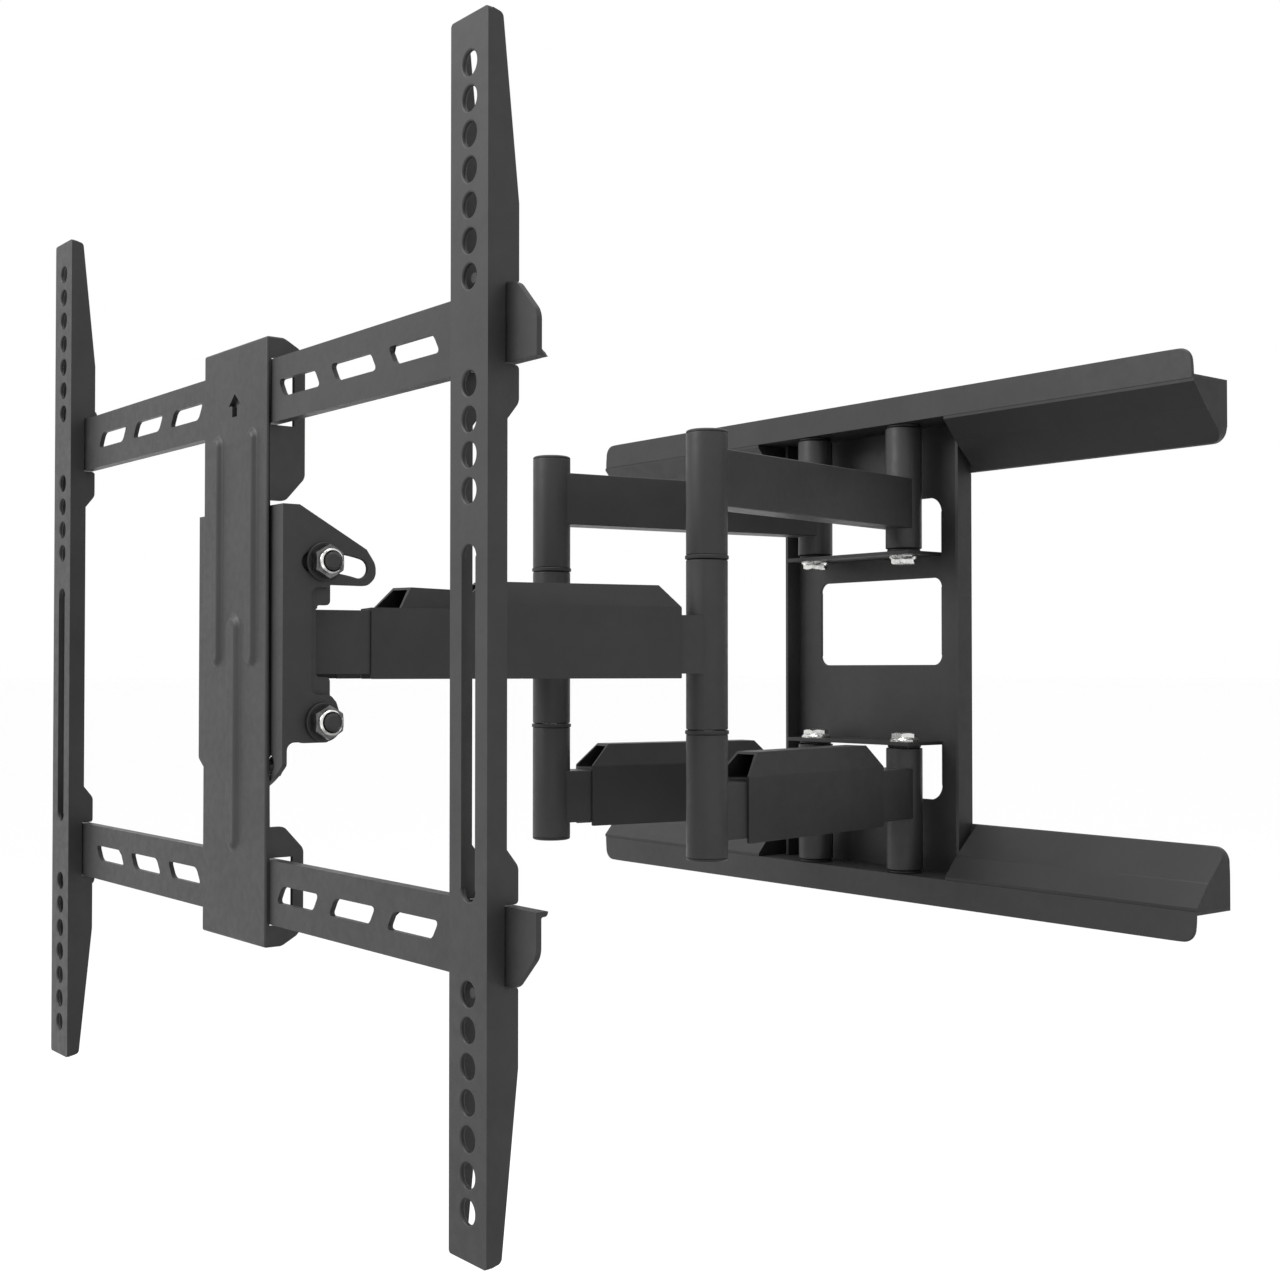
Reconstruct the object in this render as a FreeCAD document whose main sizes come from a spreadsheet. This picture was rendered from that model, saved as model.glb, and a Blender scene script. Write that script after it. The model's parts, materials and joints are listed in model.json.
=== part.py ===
"""Full-motion TV wall mount with two folding arms, as a parametric FreeCAD document.

Frame: origin at the middle of the wall plate's back, on the wall. +X runs along the wall, to the
right for someone who faces it, +Z is up, and the television stands out towards -Y. Lengths are in
millimetres. The arms are modelled part-way extended.
"""
import FreeCAD, Part
import Sketcher
import os
import re

doc = FreeCAD.newDocument("tv_wall_mount")

# Driving dimensions: alias, value.
DIMENSIONS = {
    # Wall plate: two Z-section rails joined by a centre panel.
    "plate_half_width": 231.5,
    "steel": 2.0,
    "rail_depth": 30.5,
    "rail_edge": 99.5,
    "rail_flange": 128.5,
    "rail_top": 143.6,
    "corner_radius": 7.0,
    "stud_half_spacing": 203.2,
    "lag_height": 114.0,
    "lag_radius": 4.25,
    "lag_slot": 30.0,
    "panel_half_width": 70.0,
    "panel_lip": 12.0,
    "window_half_width": 49.0,
    "window_low": -9.5,
    "window_high": 41.0,
    "window_radius": 6.0,
    "shelf_low": 53.5,
    "shelf_depth": 31.0,
    "shelf_opening": 32.0,
    "opening_radius": 9.0,
    # Plastic covers over the rails' fixing slots.
    "cover_inner_end": 75.5,
    "cover_outer_end": 232.5,
    "cover_skin": 1.6,
    "cover_lip": 2.2,
    "cover_slope_skin": 1.1,
    "cover_front_skin": 1.9,
    "cover_front_rise": 0.5,
    "cover_low": 99.7,
    "cover_foot": 3.2,
    "cover_crease_depth": 20.8,
    "cover_crease_height": 115.2,
    "cover_front": 30.3,
    "cover_front_height": 126.8,
    "cover_top": 128.4,
    # Arm linkage.
    "pivot_x": 36.0,
    "pivot_depth": 19.5,
    "rear_length": 179.0,
    "elbow_x": 66.0,
    "front_length": 203.0,
    "head_x": 12.5,
    "pin_radius": 4.0,
    "boss_radius": 10.4,
    "running_gap": 0.05,
    "side_gap": 0.3,
    "washer": 1.5,
    "washer_radius": 9.5,
    "rear_half_width": 9.0,
    "rear_low": 68.5,
    "rear_high": 97.1,
    "tube_wall": 1.6,
    "elbow_pin_radius": 5.0,
    "elbow_sleeve_low": 44.3,
    "elbow_sleeve_high": 105.2,
    "elbow_cap": 1.5,
    "elbow_washer": 2.0,
    "elbow_washer_radius": 10.9,
    "front_sleeve": 42.0,
    "front_half_width": 8.5,
    "front_half_height": 14.3,
    "head_boss_radius": 9.5,
    "open_pivot_radius": 5.8,
    # Cable covers on the lower rear arms and on the front arms.
    "clip_skin": 1.3,
    "clip_below": 2.3,
    "clip_top": 14.4,
    "clip_inset": 3.6,
    "rear_clip_start": 37.0,
    "rear_clip_end": 158.5,
    "rear_clip_rise": 2.4,
    "front_clip_start": 18.2,
    "front_clip_end": 172.0,
    "front_duct_end": 129.3,
    "front_clip_rise": 3.7,
    # Head yoke, measured from the line through the two head pivots.
    "yoke_half_width": 39.6,
    "yoke_sheet": 2.2,
    "yoke_front": -13.2,
    "yoke_back": 1.6,
    "yoke_half_height": 44.0,
    "yoke_web": 22.0,
    "yoke_window": 15.6,
    "yoke_window_front": -5.3,
    "yoke_shelf_low": 16.4,
    "yoke_shelf_back": 5.8,
    "yoke_tongue": 21.0,
    "head_washer": 1.5,
    "head_washer_radius": 8.5,
    # Tilt bracket and its two cross bolts.
    "tilt_y": -3.2,
    "tilt_z": -35.0,
    "tilt_reach": 69.2,
    "tilt_half_width": 42.4,
    "tilt_front": -22.4,
    "tilt_sheet": 2.2,
    "tilt_slot_half": 4.25,
    "tilt_forward": 14.5,
    "tilt_back": 4.6,
    "tilt_top": 58.5,
    "tilt_bottom": -43.5,
    "tail_radius": 68.0,
    "tilt_cut_front": -8.9,
    "tilt_cut_back": 0.3,
    "tilt_cut_half": 23.2,
    "tilt_top_back": -14.5,
    "ear_shoulder": 18.0,
    "ear_shoulder_height": 40.5,
    "ear_back": 22.5,
    "ear_back_height": 34.0,
    "ear_low": 24.4,
    "ear_corner": 4.0,
    "lug_back": 5.0,
    "lug_middle": -34.2,
    "lug_straight": 2.8,
    "lug_slope": 5.0,
    "lug_inset": 1.8,
    "lug_foot": -3.5,
    "cross_washer_radius": 8.5,
    "cross_washer": 1.6,
    "cross_gap": 0.3,
    "nut_height": 6.5,
    "nut_radius": 7.5,
    "bolt_tail": 1.8,
    "bolt_head": 5.0,
    "cross_head": 5.5,
    # Centre plate and the two bars that it carries.
    "plate_front": -25.0,
    "plate_sheet": 2.2,
    "plate_half": 32.0,
    "plate_half_height": 131.5,
    "flange_back": -6.9,
    "flange_end_front": -17.4,
    "flange_end_middle": -10.2,
    "flange_end_slope": 127.5,
    "flange_end": 124.0,
    "upper_flange_low": 60.6,
    "upper_flange_foot": -16.2,
    "upper_flange_taper": 71.0,
    "lower_flange_high": -80.0,
    "lower_flange_taper": -90.0,
    "bead": 1.0,
    "side_bead": 17.5,
    "side_bead_half": 5.5,
    "side_bead_low": -6.0,
    "side_bead_high": 88.0,
    "middle_bead_half": 7.0,
    "middle_bead_low": -86.0,
    "middle_bead_high": 6.0,
    "arrow_low": 100.1,
    "arrow_base": 105.2,
    "arrow_tip": 110.3,
    "arrow_half": 6.0,
    "arrow_stem": 2.4,
    "bar_play": 0.8,
    "bar_window_depth": 10.8,
    "bar_half_length": 230.0,
    "bar_sheet": 2.2,
    "bar_low": 94.0,
    "bar_high": 121.5,
    "bar_lip": 5.0,
    "bar_end_chamfer": 12.5,
    "bar_hole_first": 38.5,
    "bar_hole_pitch": 46.2,
    "bar_hole_length": 37.5,
    "bar_hole_half": 3.8,
    "bar_hole_slant": 5.0,
    "bar_centre": 107.8,
    "level_radius": 6.0,
    "level_head_radius": 8.0,
    "level_head": 2.0,
    "level_screw_x": 28.0,
    "level_screw_z": 54.2,
    "level_screw_radius": 2.5,
    "level_nut_radius": 4.8,
    "level_nut": 3.2,
    "level_play": 1.4,
    "level_step": 2.2,
    "level_gap": 0.3,
    "plate_seat": 1.2,
    # Vertical brackets that bolt to the television.
    "tv_half_spacing": 200.0,
    "tv_front": -30.6,
    "bracket_half": 12.0,
    "bracket_sheet": 2.0,
    "bracket_height": 217.0,
    "bracket_shallow": -22.4,
    "bracket_deep": -17.6,
    "bracket_tip": -24.4,
    "bracket_tip_drop": 1.5,
    "bracket_taper": 150.0,
    "bracket_deep_low": 80.5,
    "bracket_shallow_high": 74.5,
    "tv_hole_radius": 4.4,
    "tv_hole_pitch": 12.5,
    "tv_hole_first": 125.0,
    "tv_slot_high": 31.0,
    "tv_slot_low": -93.0,
    "notch_gap": 0.5,
    "keeper_radius": 1.8,
    "keeper_head_radius": 3.2,
    "keeper_z": 124.7,
    "keeper_head_front": -15.6,
    "keeper_head_back": -12.8,
}

sheet = doc.addObject("Spreadsheet::Sheet", "dims")
for row, (alias, number) in enumerate(DIMENSIONS.items(), start=1):
    sheet.set(f"A{row}", alias)
    sheet.set(f"B{row}", str(number))
    sheet.setAlias(f"B{row}", alias)
doc.recompute()

# Places that follow from the arm lengths.
ELBOW_Y = "-(pivot_depth + sqrt(rear_length^2 - (elbow_x - pivot_x)^2))"
HEAD_Y = f"({ELBOW_Y} - sqrt(front_length^2 - (elbow_x - head_x)^2))"
REAR_TURN = "asin((elbow_x - pivot_x) / rear_length)"
FRONT_TURN = "-asin((elbow_x - head_x) / front_length)"
AXES = {"x": FreeCAD.Vector(1, 0, 0), "y": FreeCAD.Vector(0, 1, 0), "z": FreeCAD.Vector(0, 0, 1)}
PLANES = {"xy": "XY_Plane", "xz": "XZ_Plane", "yz": "YZ_Plane"}
subparts = []


def bound(text):
    """An expression in which every alias is read from the sheet."""
    return re.sub(r"[a-z][a-z0-9_]*", lambda word: f"dims.{word[0]}" if word[0] in DIMENSIONS else word[0], str(text))


def value(text):
    """The present number of an expression."""
    result = sheet.evalExpression(bound(text))
    return float(getattr(result, "Value", result))


def place(item, x=0, y=0, z=0):
    """Bind an item's position."""
    for axis, text in zip("xyz", (x, y, z)):
        item.setExpression(f"Placement.Base.{axis}", bound(text))
    return item


def box(name, x, y, z):
    """A block between the low and high ends given for each axis."""
    block = doc.addObject("Part::Box", name)
    for size, (low, high) in zip(("Length", "Width", "Height"), (x, y, z)):
        block.setExpression(size, bound(f"({high}) - ({low})"))
    return place(block, x[0], y[0], z[0])


def rod(name, axis, centre, radius, low, high, sides=0):
    """A cylinder, or a prism with the given number of sides, along an axis from low to high."""
    if sides:
        bar = doc.addObject("Part::Prism", name)
        bar.Polygon = sides
        bar.setExpression("Circumradius", bound(radius))
    else:
        bar = doc.addObject("Part::Cylinder", name)
        bar.setExpression("Radius", bound(radius))
    bar.setExpression("Height", bound(f"({high}) - ({low})"))
    bar.Placement = FreeCAD.Placement(FreeCAD.Vector(), FreeCAD.Rotation(AXES["z"], AXES[axis]))
    spot = list(centre)
    spot.insert("xyz".index(axis), low)
    return place(bar, *spot)


def prism(name, plane, corners, low, high):
    """A PartDesign body: the outline through the corners, padded from low to high."""
    body = doc.addObject("PartDesign::Body", name)
    sketch = body.newObject("Sketcher::SketchObject", f"{name}_outline")
    base = next(item for item in body.Origin.OriginFeatures if item.Role == PLANES[plane])
    sketch.AttachmentSupport = [(base, "")]
    sketch.MapMode = "FlatFace"
    spots = [FreeCAD.Vector(value(u), value(v), 0) for u, v in corners]
    count = len(spots)
    for index in range(count):
        sketch.addGeometry(Part.LineSegment(spots[index], spots[(index + 1) % count]), False)
    for index in range(count):
        sketch.addConstraint(Sketcher.Constraint("Coincident", index, 2, (index + 1) % count, 1))
    for index, corner in enumerate(corners):
        for kind, text, here in (("DistanceX", corner[0], spots[index].x), ("DistanceY", corner[1], spots[index].y)):
            number = sketch.addConstraint(Sketcher.Constraint(kind, -1, 1, index, 1, here))
            sketch.setExpression(f"Constraints[{number}]", bound(text))
    # The xz plane's normal is -Y, so a pad along it runs from -high to -low.
    start = f"-({high})" if plane == "xz" else low
    sketch.setExpression(".AttachmentOffset.Base.z", bound(start))
    pad = body.newObject("PartDesign::Pad", f"{name}_pad")
    pad.Profile = sketch
    pad.setExpression("Length", bound(f"({high}) - ({low})"))
    body.Tip = pad
    return body


def fused(name, *pieces):
    """Pieces welded into one solid."""
    union = doc.addObject("Part::MultiFuse", name)
    union.Shapes = list(pieces)
    union.Refine = True
    return union


def grouped(name, *pieces):
    """Separate solids kept in one node."""
    group = doc.addObject("Part::Compound", name)
    group.Links = list(pieces)
    return group


def cut(name, base, *tools):
    """A base with every tool taken away."""
    result = doc.addObject("Part::Cut", name)
    result.Base = base
    result.Tool = tools[0] if len(tools) == 1 else grouped(f"{name}_tools", *tools)
    result.Refine = True
    return result


def mirrored(name, source, axis):
    """A source reflected through the origin plane across an axis."""
    copy = doc.addObject("Part::Mirroring", name)
    copy.Source = source
    copy.Normal = AXES[axis]
    return copy


def subpart(label, item):
    """Keep an item as a sub-part with its own name."""
    item.Label = label
    subparts.append(item)
    return item


def both_sides(item, right, left):
    """A right-hand sub-part and its mirror image on the left."""
    subpart(right, item)
    return subpart(left, mirrored(f"{left}_mirror", item, "x"))


def slot(name, axis, centre, radius, length, low, high):
    """A slot cutter along an axis, with its length along X."""
    x, other = centre
    reach = f"(({length}) / 2 - ({radius}))"
    ends = [rod(f"{name}_{side}", axis, (f"({x}) {sign} {reach}", other), radius, low, high)
            for side, sign in (("a", "-"), ("b", "+"))]
    spans = {"y": ((low, high), (f"({other}) - ({radius})", f"({other}) + ({radius})"))}
    across = spans[axis]
    middle = box(f"{name}_m", (f"({x}) - {reach}", f"({x}) + {reach}"), *across)
    return fused(name, middle, *ends)


def corner_tool(name, x, z, radius, low, high, right, up):
    """A cutter that rounds one corner of a plate that faces Y."""
    sign_x, sign_z = ("-" if right else "+"), ("-" if up else "+")
    inner_x, inner_z = f"({x}) {sign_x} ({radius})", f"({z}) {sign_z} ({radius})"
    outer_x, outer_z = (f"({x}) {'+' if right else '-'} 1"), (f"({z}) {'+' if up else '-'} 1")
    span_x = (inner_x, outer_x) if right else (outer_x, inner_x)
    span_z = (inner_z, outer_z) if up else (outer_z, inner_z)
    block = box(f"{name}_block", span_x, (low, high), span_z)
    disc = rod(f"{name}_disc", "y", (inner_x, inner_z), radius, low, high)
    return cut(name, block, disc)


# --- Wall plate -------------------------------------------------------------------------------

def upper_rail():
    """Z-section rail: web on the wall, flange, and a lip turned up at the front."""
    outline = [("0", "rail_edge"), ("-steel", "rail_edge"), ("-steel", "rail_flange"),
               ("-rail_depth", "rail_flange"), ("-rail_depth", "rail_top"),
               ("-rail_depth + steel", "rail_top"), ("-rail_depth + steel", "rail_flange + steel"),
               ("0", "rail_flange + steel")]
    blank = prism("rail_blank", "yz", outline, "-plate_half_width", "plate_half_width")
    tools = []
    for side, sign in (("right", ""), ("left", "-")):
        is_right = side == "right"
        end = f"{sign}plate_half_width"
        tools.append(slot(f"lag_slot_{side}", "y", (f"{sign}stud_half_spacing", "lag_height"),
                          "lag_radius", "lag_slot", "-steel - 1", "1"))
        tools.append(corner_tool(f"lip_corner_{side}", end, "rail_top", "corner_radius",
                                 "-rail_depth - 1", "-rail_depth + steel + 1", is_right, True))
        tools.append(corner_tool(f"web_corner_{side}", end, "rail_edge", "corner_radius",
                                 "-steel - 1", "1", is_right, False))
        tools.append(rod(f"flange_hole_{side}", "z", (f"{sign}pivot_x", "-pivot_depth"), "pin_radius",
                         "rail_flange - 1", "rail_flange + steel + 1"))
    return cut("rail", blank, *tools)


def rail_cover():
    """Thin sloping plastic shell that hides the fixings at one end of a rail."""
    outer = [("-steel", "cover_low"), ("-cover_foot", "cover_low"),
             ("-cover_crease_depth", "cover_crease_height"), ("-cover_front", "cover_front_height"),
             ("-cover_front", "cover_top"), ("-steel", "cover_top")]
    inner = [("-steel + 1", "cover_low + cover_lip"), ("-steel", "cover_low + cover_lip"),
             ("-cover_crease_depth + cover_slope_skin", "cover_crease_height + cover_slope_skin"),
             ("-cover_front + cover_front_skin", "cover_front_height + cover_front_rise"),
             ("-cover_front + cover_front_skin", "cover_top + 1"), ("-steel + 1", "cover_top + 1")]
    shell = prism("cover_outer", "yz", outer, "cover_inner_end", "cover_outer_end")
    hollow = prism("cover_inner", "yz", inner, "cover_inner_end + cover_skin", "cover_outer_end - cover_skin")
    corner = corner_tool("cover_corner", "cover_outer_end", "cover_low", "corner_radius",
                         "-cover_front", "0", True, False)
    return cut("cover", shell, hollow, corner)


def centre_panel():
    """Plate between the rails, with forward side lips and two lanced shelves for the arm pivots."""
    half, lip = "panel_half_width", "panel_lip"
    plate = box("panel_plate", (f"-{half}", half), ("-steel", "0"), ("-rail_edge", "rail_edge"))
    pieces = [plate]
    for side, low, high in (("right", f"{half} - steel", half), ("left", f"-{half}", f"-{half} + steel")):
        pieces.append(box(f"panel_lip_{side}", (low, high), (f"-{lip}", "-steel"), ("-rail_flange", "rail_flange")))
    tools = [box("window", ("-window_half_width", "window_half_width"), ("-steel - 1", "1"),
                 ("window_low", "window_high"))]
    window = tools.pop()
    rounded = cut("window_rounded", window, *[
        corner_tool(f"window_{side}_{level}", f"{sign}window_half_width", edge, "window_radius",
                    "-steel - 1", "1", side == "right", level == "top")
        for side, sign in (("right", ""), ("left", "-"))
        for level, edge in (("top", "window_high"), ("bottom", "window_low"))])
    tools.append(rounded)
    for level, sign in (("upper", ""), ("lower", "-")):
        is_upper = level == "upper"
        edges = ("shelf_low + steel", "shelf_low + steel + shelf_opening")
        span = edges if is_upper else tuple(f"-({edge})" for edge in reversed(edges))
        opening = box(f"opening_{level}", ("-window_half_width", "window_half_width"), ("-steel - 1", "1"), span)
        far = edges[1] if is_upper else f"-({edges[1]})"
        tools.append(cut(f"opening_{level}_rounded", opening, *[
            corner_tool(f"opening_{level}_{side}", f"{turn}window_half_width", far, "opening_radius",
                        "-steel - 1", "1", side == "right", is_upper)
            for side, turn in (("right", ""), ("left", "-"))]))
        shelf = ("shelf_low", "shelf_low + steel") if is_upper else ("-shelf_low - steel", "-shelf_low")
        pieces.append(box(f"shelf_{level}", ("-window_half_width", "window_half_width"),
                          ("-shelf_depth", "-steel"), shelf))
        for side, turn in (("right", ""), ("left", "-")):
            tools.append(rod(f"shelf_hole_{level}_{side}", "z", (f"{turn}pivot_x", "-pivot_depth"),
                             "pin_radius", f"{shelf[0]} - 1", f"{shelf[1]} + 1"))
    return cut("panel", fused("panel_blank", *pieces), *tools)


def wall_pivot_hardware():
    """Bolts, nuts and thin washers that hold the four wall pivots."""
    bolts, nuts, washers = [], [], []
    spot = ("pivot_x", "-pivot_depth")
    shank = rod("wall_bolt_shank", "z", spot, "pin_radius", "shelf_low", "rail_flange + steel + nut_height")
    head = rod("wall_bolt_head", "z", spot, "nut_radius", "shelf_low - bolt_head", "shelf_low", 6)
    upper = fused("wall_bolt", shank, head)
    nut = cut("wall_nut", rod("wall_nut_blank", "z", spot, "nut_radius", "rail_flange + steel",
                              "rail_flange + steel + nut_height", 6),
              rod("wall_nut_bore", "z", spot, "pin_radius", "rail_flange", "rail_flange + 20"))
    for level, low, high in (("low", "shelf_low + steel", "shelf_low + steel + washer"),
                             ("high", "rail_flange - washer", "rail_flange")):
        disc = rod(f"wall_washer_{level}_disc", "z", spot, "washer_radius", low, high)
        bore = rod(f"wall_washer_{level}_bore", "z", spot, "pin_radius", f"{low} - 1", f"{high} + 1")
        washers.append(cut(f"wall_washer_{level}", disc, bore))
    for name, source, into in (("bolt", upper, bolts), ("nut", nut, nuts),
                               ("washer", grouped("wall_washer_pair", *washers), washers)):
        copies = [source]
        copies.append(mirrored(f"wall_{name}_left", source, "x"))
        copies += [mirrored(f"wall_{name}_below_{index}", item, "z") for index, item in enumerate(copies[:2])]
        subpart(f"wall_pivot_{name}s", grouped(f"wall_{name}_group", *copies))


# --- Arms -------------------------------------------------------------------------------------

def stand_off(item, x, y, turn):
    """Put an arm piece, modelled along -Y from its own pivot, at its place and angle."""
    item.Placement = FreeCAD.Placement(FreeCAD.Vector(), FreeCAD.Rotation(AXES["z"], 1))
    place(item, x, y)
    item.setExpression("Placement.Rotation.Angle", bound(turn))
    return item


def square_tube(name, half_width, start, end, low, high):
    """Closed rectangular tube along -Y."""
    wall = "tube_wall"
    outside = box(f"{name}_outside", (f"-{half_width}", half_width), (f"-({end})", f"-({start})"), (low, high))
    hollow = box(f"{name}_hollow", (f"-{half_width} + {wall}", f"{half_width} - {wall}"),
                 (f"-({end}) + boss_radius + 1", f"-({start}) - boss_radius - 1"),
                 (f"{low} + {wall}", f"{high} - {wall}"))
    return cut(name, outside, hollow)


def rear_arm():
    """Upper rear arm: wall boss, square tube and elbow sleeve welded together."""
    low, high = "shelf_low + steel + washer + side_gap", "rail_flange - washer - side_gap"
    elbow = ("0", "-rear_length")
    tube = square_tube("rear_tube", "rear_half_width", "0", "rear_length", "rear_low", "rear_high")
    boss = rod("rear_boss", "z", ("0", "0"), "boss_radius", low, high)
    sleeve = rod("rear_sleeve", "z", elbow, "boss_radius", "elbow_sleeve_low", "elbow_sleeve_high")
    bore = rod("rear_bore", "z", ("0", "0"), "pin_radius + running_gap", f"{low} - 1", f"{high} + 1")
    seat = rod("rear_seat", "z", elbow, "elbow_pin_radius", "elbow_sleeve_low - 1", "elbow_sleeve_high + 1")
    arm = cut("rear_arm", fused("rear_blank", tube, boss, sleeve), bore, seat)
    return stand_off(arm, "pivot_x", "-pivot_depth", REAR_TURN)


def front_arm(name, head_bore):
    """Front arm: elbow sleeve, square tube and head boss welded together."""
    head = ("0", "-front_length")
    half = "front_half_height"
    tube = square_tube(f"{name}_tube", "front_half_width", "0", "front_length", f"-{half}", half)
    sleeve = rod(f"{name}_sleeve", "z", ("0", "0"), "boss_radius", "-front_sleeve", "front_sleeve")
    boss = rod(f"{name}_boss", "z", head, "head_boss_radius", f"-{half}", half)
    bore = rod(f"{name}_bore", "z", ("0", "0"), "elbow_pin_radius + running_gap",
               "-front_sleeve - 1", "front_sleeve + 1")
    hole = rod(f"{name}_hole", "z", head, head_bore, f"-{half} - 1", f"{half} + 1")
    arm = cut(name, fused(f"{name}_blank", tube, sleeve, boss), bore, hole)
    return stand_off(arm, "elbow_x", ELBOW_Y, FRONT_TURN)


def cable_cover(name, half_width, low, high, rise, start, end, duct_end):
    """Thin plastic channel clipped over an arm, with an open-ended cable duct along its top."""
    skin = "clip_skin"
    foot, floor, fold, roof = f"{low} - clip_below", f"{high} + {skin}", f"{high} + {rise}", f"{high} + clip_top"
    wide, narrow = f"{half_width} + {skin}", f"{half_width} + {skin} - clip_inset"
    clip = [(f"-({wide})", foot), (f"-({wide})", floor), (wide, floor), (wide, foot),
            (half_width, foot), (half_width, high), (f"-({half_width})", high), (f"-({half_width})", foot)]
    duct = [(f"-({wide})", high), (f"-({wide})", fold), (f"-({narrow})", roof), (narrow, roof), (wide, fold),
            (wide, high), (half_width, high), (half_width, fold), (f"{narrow} - {skin}", f"{roof} - {skin}"),
            (f"-({narrow}) + {skin}", f"{roof} - {skin}"), (f"-({half_width})", fold), (f"-({half_width})", high)]
    channel = prism(f"{name}_channel", "xz", clip, f"-({end})", f"-({start})")
    tunnel = prism(f"{name}_tunnel", "xz", duct, f"-({duct_end})", f"-({start})")
    slope = f"({roof} - ({fold}))"
    bevels = []
    for side, edge, inward in (("near", start, "-"), ("far", duct_end, "+")):
        corners = [(f"-({edge}) {'+' if side == 'near' else '-'} 1", f"{roof} + 1"),
                   (f"-({edge}) {'+' if side == 'near' else '-'} 1", fold), (f"-({edge})", fold),
                   (f"-({edge}) {inward} {slope}", roof), (f"-({edge}) {inward} {slope}", f"{roof} + 1")]
        bevels.append(prism(f"{name}_bevel_{side}", "yz", corners, f"-({wide}) - 1", f"{wide} + 1"))
    return fused(f"{name}_cover", channel, cut(name, tunnel, *bevels))


def elbow_hardware():
    """Pin, end caps and washers of the right elbow."""
    spot = ("elbow_x", ELBOW_Y)
    pin = rod("elbow_pin", "z", spot, "elbow_pin_radius", "-elbow_sleeve_high", "elbow_sleeve_high")
    caps = [rod("elbow_cap_top", "z", spot, "boss_radius", "elbow_sleeve_high", "elbow_sleeve_high + elbow_cap"),
            rod("elbow_cap_base", "z", spot, "boss_radius", "-elbow_sleeve_high - elbow_cap", "-elbow_sleeve_high")]
    rings = []
    for level, low, high in (("top", "elbow_sleeve_low - elbow_washer", "elbow_sleeve_low"),
                             ("base", "-elbow_sleeve_low", "-elbow_sleeve_low + elbow_washer")):
        disc = rod(f"elbow_ring_{level}_disc", "z", spot, "elbow_washer_radius", low, high)
        bore = rod(f"elbow_ring_{level}_bore", "z", spot, "elbow_pin_radius", f"{low} - 1", f"{high} + 1")
        rings.append(cut(f"elbow_ring_{level}", disc, bore))
    both_sides(pin, "right_elbow_pin", "left_elbow_pin")
    both_sides(grouped("elbow_caps", *caps), "right_elbow_caps", "left_elbow_caps")
    both_sides(grouped("elbow_rings", *rings), "right_elbow_washers", "left_elbow_washers")


# --- Head -------------------------------------------------------------------------------------

def at_head(item, x=0):
    """Move a piece that was modelled about the head pivots' line to its place."""
    return place(item, x, HEAD_Y)


def head_yoke():
    """Two side plates, a front web and two shelves that carry the arms' head pivots."""
    inner = "yoke_half_width - yoke_sheet"
    pieces, tools = [], []
    for side, low, high in (("right", inner, "yoke_half_width"), ("left", "-yoke_half_width", f"-({inner})")):
        plate = box(f"yoke_side_{side}", (low, high), ("yoke_front", "yoke_back"),
                    ("-yoke_half_height", "yoke_half_height"))
        window = box(f"yoke_gap_{side}", (f"{low} - 1", f"{high} + 1"), ("yoke_window_front", "yoke_back + 1"),
                     ("-yoke_window", "yoke_window"))
        pieces.append(cut(f"yoke_plate_{side}", plate, window))
    pieces.append(box("yoke_front_web", (f"-({inner})", inner), ("yoke_front", "yoke_front + yoke_sheet"),
                      ("-yoke_web", "yoke_web")))
    for level, low, high in (("top", "yoke_shelf_low", "yoke_shelf_low + steel"),
                             ("base", "-yoke_shelf_low - steel", "-yoke_shelf_low")):
        pieces.append(box(f"yoke_shelf_{level}", (f"-({inner})", inner),
                          ("yoke_front + yoke_sheet", "yoke_back"), (low, high)))
        pieces.append(box(f"yoke_tongue_{level}", ("-yoke_tongue", "yoke_tongue"),
                          ("yoke_back", "yoke_shelf_back"), (low, high)))
        for side, sign in (("right", ""), ("left", "-")):
            tools.append(rod(f"yoke_pin_hole_{level}_{side}", "z", (f"{sign}head_x", "0"), "pin_radius",
                             f"{low} - 1", f"{high} + 1"))
    for name, height in (("pivot", "tilt_z"), ("lock", "tilt_z + tilt_reach")):
        tools.append(rod(f"yoke_{name}_hole", "x", ("tilt_y", height), "pin_radius",
                         "-yoke_half_width - 1", "yoke_half_width + 1"))
    return at_head(cut("yoke", fused("yoke_blank", *pieces), *tools))


def head_pivot_hardware():
    """Vertical bolts, nuts and washers of the two head pivots."""
    shelf = "yoke_shelf_low + steel"
    spot = ("head_x", "0")
    shank = rod("head_bolt_shank", "z", spot, "pin_radius", f"-({shelf}) - nut_height", shelf)
    cap = rod("head_bolt_cap", "z", spot, "nut_radius", shelf, f"{shelf} + bolt_head", 6)
    bolt = fused("head_bolt", shank, cap)
    nut = cut("head_nut", rod("head_nut_blank", "z", spot, "nut_radius", f"-({shelf}) - nut_height",
                              f"-({shelf})", 6),
              rod("head_nut_bore", "z", spot, "pin_radius", f"-({shelf}) - 20", f"-({shelf}) + 1"))
    rings = []
    for level, low, high in (("top", "yoke_shelf_low - head_washer", "yoke_shelf_low"),
                             ("base", "-yoke_shelf_low", "-yoke_shelf_low + head_washer")):
        disc = rod(f"head_ring_{level}_disc", "z", spot, "head_washer_radius", low, high)
        bore = rod(f"head_ring_{level}_bore", "z", spot, "pin_radius", f"{low} - 1", f"{high} + 1")
        rings.append(cut(f"head_ring_{level}", disc, bore))
    for name, item in (("bolts", bolt), ("nuts", nut), ("washers", grouped("head_ring_pair", *rings))):
        pair = grouped(f"head_{name}_group", item, mirrored(f"head_{name}_left", item, "x"))
        subpart(f"head_pivot_{name}", at_head(pair))


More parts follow.
